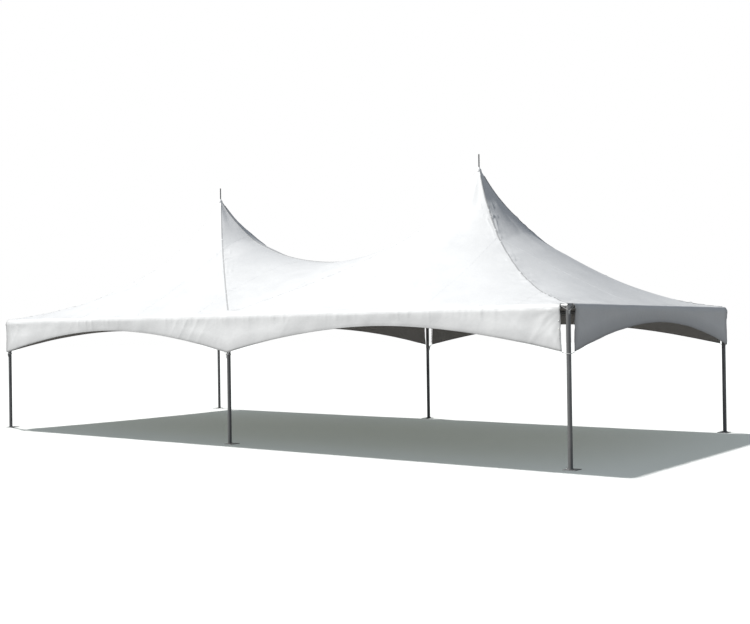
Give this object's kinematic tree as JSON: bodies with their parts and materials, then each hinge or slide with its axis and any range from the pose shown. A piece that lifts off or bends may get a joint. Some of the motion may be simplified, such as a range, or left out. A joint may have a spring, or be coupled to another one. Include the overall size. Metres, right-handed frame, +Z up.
{
  "type": "marquee tent",
  "caption": "White twin-peak marquee tent: curved tension roof on a tube frame with arched valances, raised masts on crossed cables and foot plates.",
  "frame": {"origin": "on the ground under the middle of the tent", "axes": "+X along the row of two peaks, -Y out of the long front side, +Z up"},
  "size_m": [12.372, 6.206, 4.85],
  "materials": {
    "base_plates": "dull grey coated steel",
    "vinyl": "white coated polyester, semi-gloss",
    "fittings": "cast, satin",
    "cables": "galvanised wire rope and plate",
    "peak_caps": "dark grey coated steel",
    "frame_tubes": "mill finish, satin"
  },
  "bodies": {
    "root": {"base_plate_back_left": "base_plates", "base_plate_back_middle": "base_plates", "base_plate_back_right": "base_plates", "base_plate_front_left": "base_plates", "base_plate_front_middle": "base_plates", "base_plate_front_right": "base_plates", "canopy": "vinyl", "cross_tube_middle": "frame_tubes", "eave_tube_back_left": "frame_tubes", "eave_tube_back_right": "frame_tubes", "eave_tube_front_left": "frame_tubes", "eave_tube_front_right": "frame_tubes", "eave_tube_left_end": "frame_tubes", "eave_tube_right_end": "frame_tubes", "fitting_back_left": "fittings", "fitting_back_middle": "fittings", "fitting_back_right": "fittings", "fitting_front_left": "fittings", "fitting_front_middle": "fittings", "fitting_front_right": "fittings", "leg_back_left": "frame_tubes", "leg_back_middle": "frame_tubes", "leg_back_right": "frame_tubes", "leg_front_left": "frame_tubes", "leg_front_middle": "frame_tubes", "leg_front_right": "frame_tubes", "mast_cable_left_back_left": "cables", "mast_cable_left_back_right": "cables", "mast_cable_left_front_left": "cables", "mast_cable_left_front_right": "cables", "mast_cable_right_back_left": "cables", "mast_cable_right_back_right": "cables", "mast_cable_right_front_left": "cables", "mast_cable_right_front_right": "cables", "mast_hub_left": "cables", "mast_hub_right": "cables", "mast_left": "frame_tubes", "mast_right": "frame_tubes", "peak_cap_left": "peak_caps", "peak_cap_right": "peak_caps", "valance_back_left": "vinyl", "valance_back_right": "vinyl", "valance_front": "vinyl", "valance_left_end": "vinyl", "valance_right_end": "vinyl"}
  },
  "joints": []
}
